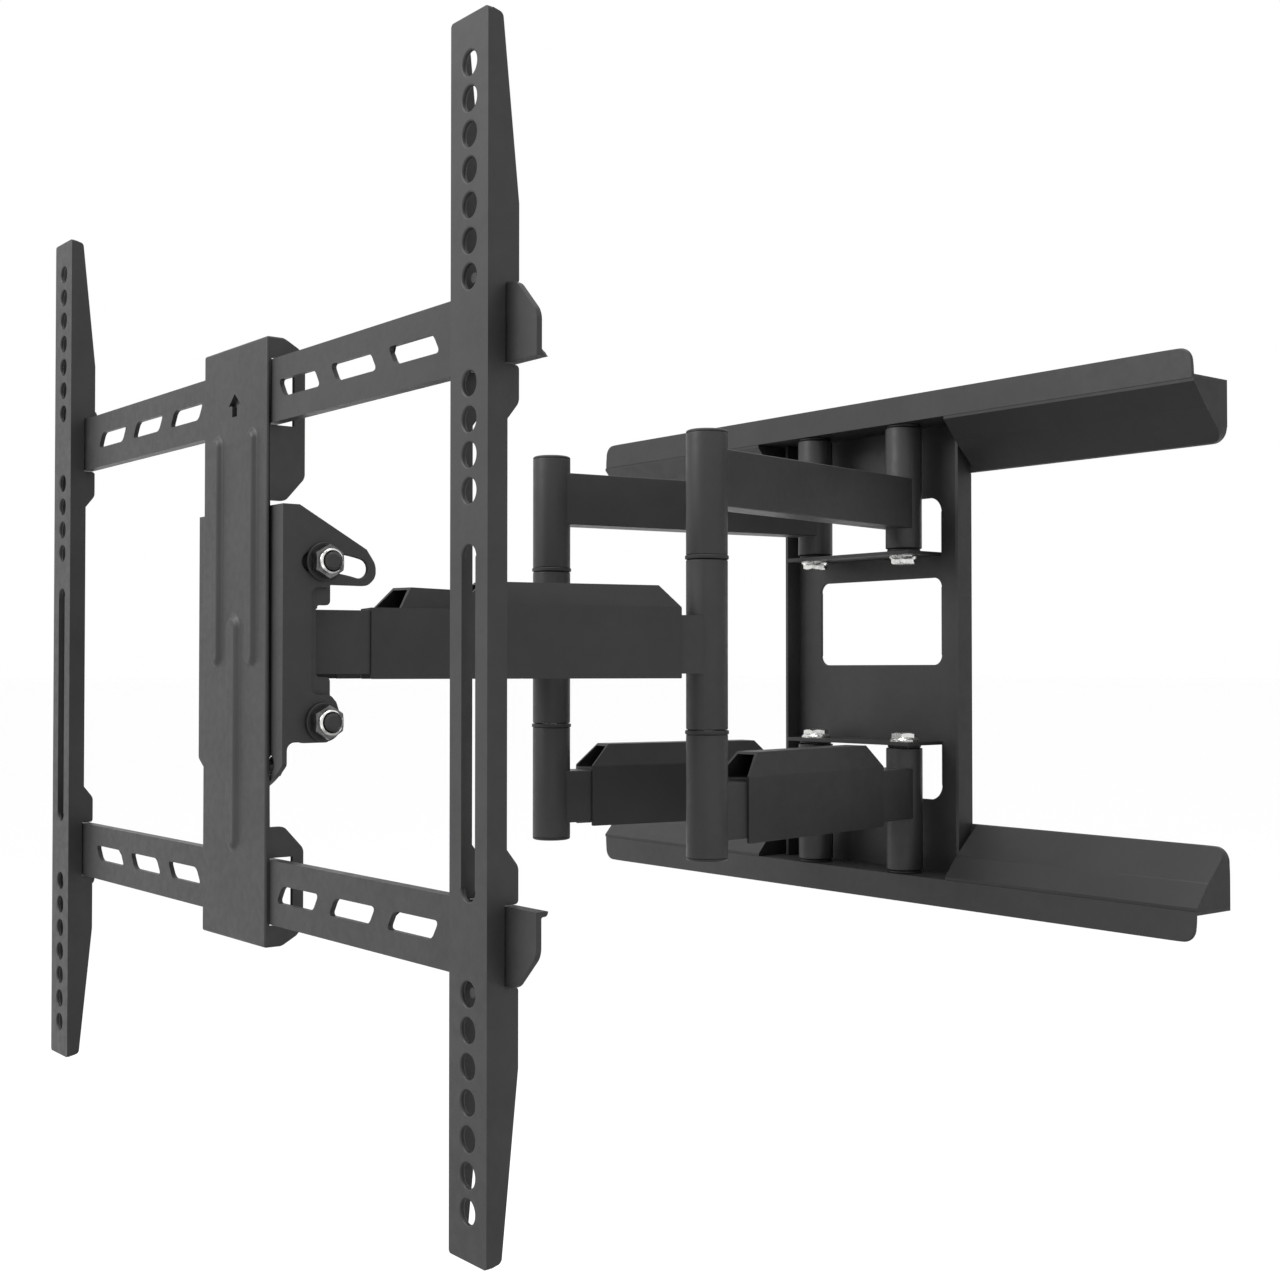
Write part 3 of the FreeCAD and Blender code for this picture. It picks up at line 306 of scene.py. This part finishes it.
def finished(node, name, bm, broken=True, finish=None):
    """Turn a mesh into a visible piece that stands for a node, with its sharp edges broken if asked."""
    mesh = bpy.data.meshes.new(name)
    bmesh.ops.recalc_face_normals(bm, faces=bm.faces)
    bm.to_mesh(mesh)
    bm.free()
    mesh.materials.append(finish or MATERIALS[NODE_SLOTS[node]])
    piece = bpy.data.objects.new(name, mesh)
    bpy.context.scene.collection.objects.link(piece)
    if broken:
        # The modifier clamps this width too: most folded pieces keep sharp edges.
        bevel = piece.modifiers.new("edges", "BEVEL")
        bevel.width = BROKEN_EDGE
        bevel.segments = 2
        bevel.limit_method = "ANGLE"
        bevel.angle_limit = SHARP_BEND
        evaluated = piece.evaluated_get(bpy.context.evaluated_depsgraph_get())
        shaped = bpy.data.meshes.new_from_object(evaluated)
        piece.modifiers.clear()
        without_slivers(shaped)
        piece.data = shaped
    shade(piece.data)
    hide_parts(node)
    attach(piece, NODE_BODIES[node])


def grooved(bm):
    """Cut a fine moulding line along the crease between a rail cover's two slopes."""
    half_width, depth, level = 0.55 * MM, 0.5 * MM, 0.03 * MM
    creases = [edge for edge in bm.edges if edge.is_manifold and edge.is_convex and edge.calc_length() > 0.1
               and math.radians(3) < edge.calc_face_angle() < SHARP_BEND]
    for edge in creases:
        if max(face.normal.y for face in edge.link_faces) > -0.2:
            continue
        middle = (edge.verts[0].co + edge.verts[1].co) / 2
        inward = -(edge.link_faces[0].normal + edge.link_faces[1].normal).normalized()
        made = bmesh.ops.bevel(bm, geom=[edge], offset=half_width, offset_type="OFFSET", segments=2,
                               profile=0.5, affect="EDGES")
        depths = {vertex: (vertex.co - middle).dot(inward) for vertex in made["verts"]}
        shallow = min(depths.values())
        for vertex, below in depths.items():
            if below < shallow + level:
                vertex.co += inward * depth


def folded(node, sheet, bend, corner):
    """A folded sheet-steel or moulded node."""
    bm = clean_copy(node)
    if node.startswith("rail_cover"):
        grooved(bm)
    rounded(bm, sheet * MM, bend * MM, corner * MM, notches=node in NOTCHED)
    finished(node, f"{node}_formed", bm)


def welded(node):
    """An arm: tube with rolled edges, its sleeves joined by weld fillets."""
    bm = clean_copy(node)
    without_cavities(bm)
    rounded(bm, sheet=1.6 * MM, bend=2.0 * MM, corner=0.6 * MM, weld=1.6 * MM)
    finished(node, f"{node}_welded", bm)


# --- Beads pressed into the centre plate ------------------------------------------------------

def flatten_beads(bm, face_y):
    """Push everything that stands in front of the plate's face back onto it."""
    near = 0.01 * MM
    for vertex in bm.verts:
        if vertex.co.y < face_y - 0.1 * MM:
            vertex.co.y = face_y
    bmesh.ops.remove_doubles(bm, verts=bm.verts, dist=near)
    bmesh.ops.dissolve_degenerate(bm, edges=bm.edges, dist=near)
    with_whole_faces(bm)


def stadium(x, low, high, radius, y):
    """Points round a slot shape that stands upright."""
    steps = 14
    points = []
    for centre, start in ((high, 0.0), (low, math.pi)):
        for index in range(steps + 1):
            turn = start + math.pi * index / steps
            points.append(Vector((x + radius * math.cos(turn), y, centre + radius * math.sin(turn))))
    return points


def add_bead(bm, x, low, high, half, face_y, height):
    """A raised bead with smooth shoulders and round ends on the plate's front, sunk a little into it."""
    rings, shoulder, sunk = 12, 0.56, 0.4 * MM
    outlines = [stadium(x, low, high, half, face_y + sunk)]
    for ring in range(rings + 1):
        part = ring / rings
        rise = height * part * part * (3 - 2 * part)
        outlines.append(stadium(x, low, high, half * (1 - shoulder * part), face_y - rise))
    loops = [[bm.verts.new(point) for point in outline] for outline in outlines]
    count = len(loops[0])
    for inner, outer in zip(loops[1:], loops):
        for index in range(count):
            after = (index + 1) % count
            bm.faces.new((outer[index], outer[after], inner[after], inner[index]))
    bm.faces.new(loops[-1])
    bm.faces.new(list(reversed(loops[0])))


# --- Turned and hexagonal fasteners -----------------------------------------------------------

AXIS_FRAMES = {"x": (Y, Z, X), "y": (Z, X, Y), "z": (X, Y, Z)}


def at_turn(number, turn):
    """The value at a turn of a number or a function of the turn."""
    return number(turn) if callable(number) else number


def spun(bm, axis, centre, profile, closed=False, steps=60):
    """Sweep a profile of (radius, height) pairs round an axis. Either may be a function of the turn."""
    u, v, w = AXIS_FRAMES[axis]
    base = centre - w * centre.dot(w)
    rings = []
    for radius, height in profile:
        ring = []
        for index in range(steps):
            turn = 2 * math.pi * index / steps
            out = at_turn(radius, turn)
            point = base + u * out * math.cos(turn) + v * out * math.sin(turn) + w * at_turn(height, turn)
            ring.append(bm.verts.new(point))
        rings.append(ring)
    pairs = list(zip(rings, rings[1:])) + ([(rings[-1], rings[0])] if closed else [])
    for low, high in pairs:
        for index in range(steps):
            after = (index + 1) % steps
            bm.faces.new((low[index], low[after], high[after], high[index]))
    if not closed:
        bm.faces.new(list(reversed(rings[0])))
        bm.faces.new(rings[-1])


def hex_radius(flat, phase):
    """The radius of a hexagon, with a corner at the phase, as a function of the turn."""
    sixth = math.pi / 3
    return lambda turn: flat / math.cos((turn - phase) % sixth - sixth / 2)


def add_hex(bm, axis, centre, flat, phase, low, high, bore=0.0):
    """A hexagon with the curved chamfers of a machined nut or bolt head, bored through if asked."""
    hexagon = hex_radius(flat, phase)
    rim = 0.95 * flat

    def drop(turn):
        return (hexagon(turn) - rim) * math.tan(math.radians(30))

    profile = [(rim, low), (hexagon, lambda turn: low + drop(turn)),
               (hexagon, lambda turn: high - drop(turn)), (rim, high)]
    if bore:
        lead = 0.12 * bore
        profile += [(bore + lead, high), (bore, high - lead), (bore, low + lead), (bore + lead, low)]
    spun(bm, axis, centre, profile, closed=bool(bore), steps=72)


def threaded(radius, start, stop):
    """A profile of M8 thread ridges, from start towards stop, that ends in a chamfer."""
    pitch = 1.25 * MM
    depth = 0.45 * pitch
    way = 1 if stop > start else -1
    profile, height = [], start
    while way * (stop - height) > 1.6 * pitch:
        profile += [(radius, height + way * 0.1 * pitch), (radius - depth, height + way * 0.5 * pitch),
                    (radius, height + way * 0.9 * pitch)]
        height += way * pitch
    return profile + [(radius, stop - way * 0.9 * MM), (radius - 1.0 * MM, stop - way * 0.15 * MM),
                      (radius - 1.3 * MM, stop)]


class Solid:
    """Sizes of one solid of a node: its centre, its levels along the axis and its radii."""

    def __init__(self, points, axis):
        u, v, w = AXIS_FRAMES[axis]
        low = Vector([min(point[i] for point in points) for i in range(3)])
        high = Vector([max(point[i] for point in points) for i in range(3)])
        self.centre = (low + high) / 2
        self.low, self.high = low.dot(w), high.dot(w)
        size_u, size_v = abs((high - low).dot(u)), abs((high - low).dot(v))
        self.phase = 0.0 if size_u > size_v else math.pi / 6
        self.flat = min(size_u, size_v) / 2
        self.radius = max(size_u, size_v) / 2
        self.levels = []
        for height in sorted(point.dot(w) for point in points):
            if not self.levels or height - self.levels[-1] > 0.05 * MM:
                self.levels.append(height)
        line = self.centre - w * self.centre.dot(w)
        out = [(point.dot(w), (point - w * point.dot(w) - line).length) for point in points]
        self.radii = {level: max(radius for height, radius in out if abs(height - level) < 0.06 * MM)
                      for level in self.levels}
        self.inner = min(radius for height, radius in out)


def solids(node, axis):
    """The separate solids of a node."""
    bm = clean_copy(node)
    found = [Solid([vertex.co.copy() for vertex in group], axis) for group in islands(bm)]
    bm.free()
    return found


def build_washers(node, axis):
    """Washers with softened rims."""
    bm = bmesh.new()
    soft = 0.35 * MM
    for solid in solids(node, axis):
        outer, inner = solid.radius, solid.inner
        low, high = solid.low, solid.high
        spun(bm, axis, solid.centre, [(outer - soft, low), (outer, low + soft), (outer, high - soft),
                                      (outer - soft, high), (inner + soft, high), (inner, high - soft),
                                      (inner, low + soft), (inner + soft, low)], closed=True)
    finished(node, f"{node}_turned", bm, broken=False)


def build_nuts(node, axis):
    """Plain hexagon nuts."""
    bm = bmesh.new()
    for solid in solids(node, axis):
        add_hex(bm, axis, solid.centre, solid.flat, solid.phase, solid.low, solid.high, solid.inner)
    finished(node, f"{node}_machined", bm, broken=False)


def build_bolts(node, axis):
    """Bolts with a hexagon head, a flange under it and a thread on their free end."""
    bm = bmesh.new()
    for solid in solids(node, axis):
        first, last = solid.levels[0], solid.levels[-1]
        head_first = solid.radii[first] > solid.radii[last]
        way = 1 if head_first else -1
        end, neck, tail = (first, solid.levels[1], last) if head_first else (last, solid.levels[-2], first)
        shank = min(solid.radii[first], solid.radii[last])
        add_hex(bm, axis, solid.centre, solid.flat, solid.phase, min(end, neck), max(end, neck))
        wide = solid.radius + 1.0 * MM
        flange = [(wide, neck), (wide, neck - way * 0.9 * MM), (wide - 0.5 * MM, neck - way * 1.4 * MM),
                  (solid.radius - 0.2 * MM, neck - way * 2.3 * MM), (solid.flat * 0.9, neck - way * 2.8 * MM)]
        spun(bm, axis, solid.centre, flange)
        thread_start = tail - way * min(14 * MM, 0.6 * abs(tail - neck))
        plain = [(shank, neck - way * 0.2 * MM), (shank, thread_start)]
        spun(bm, axis, solid.centre, plain + threaded(shank, thread_start, tail))
    finished(node, f"{node}_machined", bm, broken=False)


def build_lock_nuts(node, axis):
    """Lock nuts: a hexagon with a round collar that grips the bolt."""
    bm, collars = bmesh.new(), bmesh.new()
    for solid in solids(node, axis):
        way = 1 if solid.centre.dot(AXIS_FRAMES[axis][2]) > 0 else -1
        seat, top = (solid.low, solid.high) if way > 0 else (solid.high, solid.low)
        crown = top - way * 1.7 * MM
        add_hex(bm, axis, solid.centre, solid.flat, solid.phase, min(seat, crown), max(seat, crown),
                solid.inner)
        rim, bore = solid.flat - 0.9 * MM, solid.inner
        sunk, peak = crown - way * 0.3 * MM, crown + way * 2.0 * MM
        spun(collars, axis, solid.centre,
             [(bore + 0.1 * MM, sunk), (rim, sunk), (rim, crown + way * 1.1 * MM),
              (rim - 0.35 * MM, crown + way * 1.7 * MM), (rim - 0.9 * MM, peak), (bore + 0.7 * MM, peak),
              (bore + 0.2 * MM, crown + way * 1.6 * MM)], closed=True)
    # The hexagon gets the darkened zinc, a painted dark reflection; the collar keeps the node's own finish.
    finished(node, f"{node}_machined", bm, broken=False, finish=ZINC_PAINTED_DARK_REFLECTION)
    finished(node, f"{node}_collars", collars, broken=False)


def build_pins(node, axis):
    """Plain pins with a chamfer at each end."""
    bm = bmesh.new()
    soft = 0.8 * MM
    for solid in solids(node, axis):
        radius, low, high = solid.radius, solid.low, solid.high
        spun(bm, axis, solid.centre,
             [(radius - soft, low), (radius, low + soft), (radius, high - soft), (radius - soft, high)])
    finished(node, f"{node}_turned", bm, broken=False)


def build_caps(node):
    """Domed end caps of the elbows, with a shallow dimple."""
    bm = bmesh.new()
    for solid in solids(node, "z"):
        way = 1 if solid.centre.z > 0 else -1
        base, top = (solid.low, solid.high) if way > 0 else (solid.high, solid.low)
        radius = solid.radius
        profile = [(radius, base), (radius, base + way * 0.6 * MM), (0.96 * radius, base + way * 1.1 * MM),
                   (0.88 * radius, top - way * 0.1 * MM), (0.78 * radius, top), (0.42 * radius, top),
                   (0.36 * radius, top - way * 0.35 * MM), (0.30 * radius, top - way * 0.45 * MM)]
        spun(bm, "z", solid.centre, profile)
    finished(node, f"{node}_turned", bm, broken=False)


def build_rivet(node):
    """The levelling rivet: a shank with a domed head at the back."""
    bm = bmesh.new()
    for solid in solids(node, "y"):
        neck, high = solid.levels[-2], solid.high
        shank, head = solid.radii[solid.levels[0]], solid.radius
        rise = high - neck
        dome = [(head, neck), (head, neck + 0.25 * rise), (0.93 * head, neck + 0.55 * rise),
                (0.78 * head, neck + 0.82 * rise), (0.5 * head, high), (0.2 * head, high)]
        spun(bm, "y", solid.centre, [(shank, solid.low), (shank, neck)] + dome)
    finished(node, f"{node}_turned", bm, broken=False)


def build_screws(node):
    """The levelling lock screws, with a hexagon nut at the back."""
    bm = bmesh.new()
    for solid in solids(node, "y"):
        neck = solid.levels[-2]
        shank = solid.radii[solid.levels[0]]
        spun(bm, "y", solid.centre, [(shank, solid.low), (shank, solid.high + 0.2 * MM),
                                     (shank - 0.6 * MM, solid.high + 0.8 * MM)])
        add_hex(bm, "y", solid.centre, solid.flat, solid.phase, neck, solid.high)
    finished(node, f"{node}_machined", bm, broken=False)


def build_keepers(node):
    """Keeper screws: a threaded shank and a round head with a hexagon socket."""
    bm = bmesh.new()
    pitch, turns, thread = 0.8 * MM, 7, 6 * MM
    for solid in solids(node, "y"):
        neck, high = solid.levels[-2], solid.high
        shank, head = solid.radii[solid.levels[0]], solid.radius
        socket, deep = hex_radius(1.25 * MM, 0.0), high - 1.3 * MM
        profile = [(shank, solid.low), (shank, neck - thread)]
        for step in range(turns):
            ridge = neck - thread + step * pitch
            profile += [(shank - 0.3 * MM, ridge + 0.2 * MM), (shank, ridge + 0.5 * MM)]
        profile += [(shank, neck), (head, neck), (head, high - 1.1 * MM), (0.93 * head, high - 0.4 * MM),
                    (0.75 * head, high), (socket, high), (socket, deep), (0.2 * MM, deep)]
        spun(bm, "y", solid.centre, profile)
    finished(node, f"{node}_machined", bm, broken=False)


# --- All pieces -------------------------------------------------------------------------------

def build_centre_plate():
    """The centre plate with its three pressed beads."""
    node = "centre_plate"
    bm = clean_copy(node)
    face_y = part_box(node)[0].y + CAD_BEAD_HEIGHT
    flatten_beads(bm, face_y)
    rounded(bm, sheet=2.2 * MM, bend=2.0 * MM, corner=1.6 * MM)
    for x, low, high, half in BEADS:
        add_bead(bm, x * MM, low * MM, high * MM, half * MM, face_y, BEAD_HEIGHT)
    finished(node, f"{node}_formed", bm)


# A copy of the zinc plate darkened almost to black: a painted dark reflection for the lock nuts' hexagons.
ZINC_PAINTED_DARK_REFLECTION = zinc_plate("zinc_plate_painted_dark_reflection", (0.10, 0.10, 0.10), (0.17, 0.17, 0.17), 0.28, 0.40)

# The beads' middles, lower and upper end centres and half widths, in millimetres.
BEADS = ((17.5, -6.0, 88.0, 5.8), (-17.5, -6.0, 88.0, 5.8), (0.0, -86.0, 6.0, 7.2))
CAD_BEAD_HEIGHT, BEAD_HEIGHT = 1.0 * MM, 1.9 * MM

# Sheet thickness, outer bend radius and corner radius of each formed node, in millimetres.
FORMED = {
    "upper_rail": (2.0, 1.8, 1.2), "lower_rail": (2.0, 1.8, 1.2), "centre_panel": (2.0, 2.0, 0.6),
    "rail_cover_upper_right": (1.6, 0.0, 0.0), "rail_cover_upper_left": (1.6, 0.0, 0.0),
    "rail_cover_lower_right": (1.6, 0.0, 0.0), "rail_cover_lower_left": (1.6, 0.0, 0.0),
    "right_rear_arm_cover": (1.3, 1.2, 0.6), "left_rear_arm_cover": (1.3, 1.2, 0.6),
    "right_front_arm_cover": (1.3, 1.2, 0.6), "left_front_arm_cover": (1.3, 1.2, 0.6),
    "head_yoke": (2.2, 2.6, 2.0), "tilt_bracket": (2.2, 3.2, 3.4),
    "upper_bar": (2.2, 2.6, 2.6), "lower_bar": (2.2, 2.6, 2.6),
    "right_tv_bracket": (2.0, 2.0, 1.4), "left_tv_bracket": (2.0, 2.0, 1.4),
}
NOTCHED = ("upper_bar", "lower_bar", "tilt_bracket", "head_yoke")    # Their notches have round corners too.

for formed_node, (sheet, bend, corner) in FORMED.items():
    folded(formed_node, sheet, bend, corner)
for arm_side in ("right", "left"):
    for arm in ("upper_rear_arm", "lower_rear_arm", "front_arm"):
        welded(f"{arm_side}_{arm}")
    build_pins(f"{arm_side}_elbow_pin", "z")
    build_caps(f"{arm_side}_elbow_caps")
    build_washers(f"{arm_side}_elbow_washers", "z")
    build_keepers(f"{arm_side}_bracket_keepers")
build_centre_plate()
for place in ("wall_pivot", "head_pivot"):
    build_bolts(f"{place}_bolts", "z")
    build_nuts(f"{place}_nuts", "z")
    build_washers(f"{place}_washers", "z")
build_bolts("tilt_pivot_bolt", "x")
build_bolts("tilt_lock_bolt", "x")
build_lock_nuts("tilt_nuts", "x")
build_washers("tilt_washers", "x")
build_rivet("level_pivot_rivet")
build_screws("level_lock_screws")


# --- Stage, light and camera ------------------------------------------------------------------

def aimed(place, aim, front):
    """The rotation that turns an object's front axis from its place towards a spot."""
    return (Vector(aim) - Vector(place)).to_track_quat(front, "Y").to_euler()


def add_floor():
    """A pale floor well below the mount, which hangs on a wall that isn't shown."""
    bpy.ops.mesh.primitive_plane_add(size=400, location=(0, 0, -1.1))
    floor = bpy.context.object
    floor.name = "floor"
    n = Nodes("pale_floor")
    n.link(n.ramp(n.noise(2 * MM), 0.985, 0.995), n.shader.inputs["Base Color"])
    n.shader.inputs["Roughness"].default_value = 0.9
    floor.data.materials.append(n.material)


def add_card(name, place, aim, width, height):
    """A matt grey card that the camera doesn't see, which gives the metal something darker to reflect."""
    bpy.ops.mesh.primitive_plane_add(size=1, location=place)
    card = bpy.context.object
    card.name = name
    card.scale = (width, height, 1)
    card.rotation_euler = aimed(place, aim, "Z")
    card.visible_camera = False
    card.visible_shadow = False
    n = Nodes(name)
    n.shader.inputs["Base Color"].default_value = (0.35, 0.35, 0.35, 1)
    n.shader.inputs["Roughness"].default_value = 1.0
    mix = n.add("ShaderNodeMixShader")
    n.link(n.add("ShaderNodeNewGeometry").outputs["Backfacing"], mix.inputs["Fac"])
    n.link(n.shader.outputs["BSDF"], mix.inputs[1])
    n.link(n.add("ShaderNodeBsdfTransparent").outputs["BSDF"], mix.inputs[2])
    n.link(mix.outputs["Shader"], n.tree.nodes["Material Output"].inputs["Surface"])
    card.data.materials.append(n.material)


def add_light(name, place, aim, size, power):
    """A soft square light that points at a spot."""
    data = bpy.data.lights.new(name, "AREA")
    data.size = size
    data.energy = power
    light = bpy.data.objects.new(name, data)
    light.location = place
    light.rotation_euler = aimed(place, aim, "-Z")
    bpy.context.scene.collection.objects.link(light)


def add_world():
    """An even white surround."""
    world = bpy.data.worlds.new("studio")
    world.use_nodes = True
    background = world.node_tree.nodes["Background"]
    background.inputs["Color"].default_value = (1, 1, 1, 1)
    background.inputs["Strength"].default_value = 1.0
    bpy.context.scene.world = world


def add_camera():
    """The photograph's view: from the television's side, a little to the right."""
    yaw, pitch = math.radians(51.3), math.radians(1.04)
    data = bpy.data.cameras.new("camera")
    data.lens = 46.76
    data.sensor_width = 36
    data.clip_start = 0.01
    camera = bpy.data.objects.new("camera", data)
    camera.location = (0.6886, -0.7373, -0.0126)
    look = Vector((-math.sin(yaw) * math.cos(pitch), math.cos(yaw) * math.cos(pitch), math.sin(pitch)))
    camera.rotation_euler = look.to_track_quat("-Z", "Y").to_euler()
    bpy.context.scene.collection.objects.link(camera)
    bpy.context.scene.camera = camera


add_floor()
add_light("key", place=(-0.9, -2.6, 1.6), aim=(0, -0.3, 0), size=1.6, power=55)
add_light("top", place=(0.1, -0.5, 2.2), aim=(0, -0.2, 0), size=1.2, power=26)
add_card("card_below", place=(0, -0.2, -0.5), aim=(0, -0.2, 0), width=1.3, height=1.3)
add_card("card_right_rear", place=(1.0, 1.5, 0.1), aim=(0, -0.15, 0), width=1.3, height=1.5)
add_world()
add_camera()
bpy.context.scene.view_settings.view_transform = "Standard"
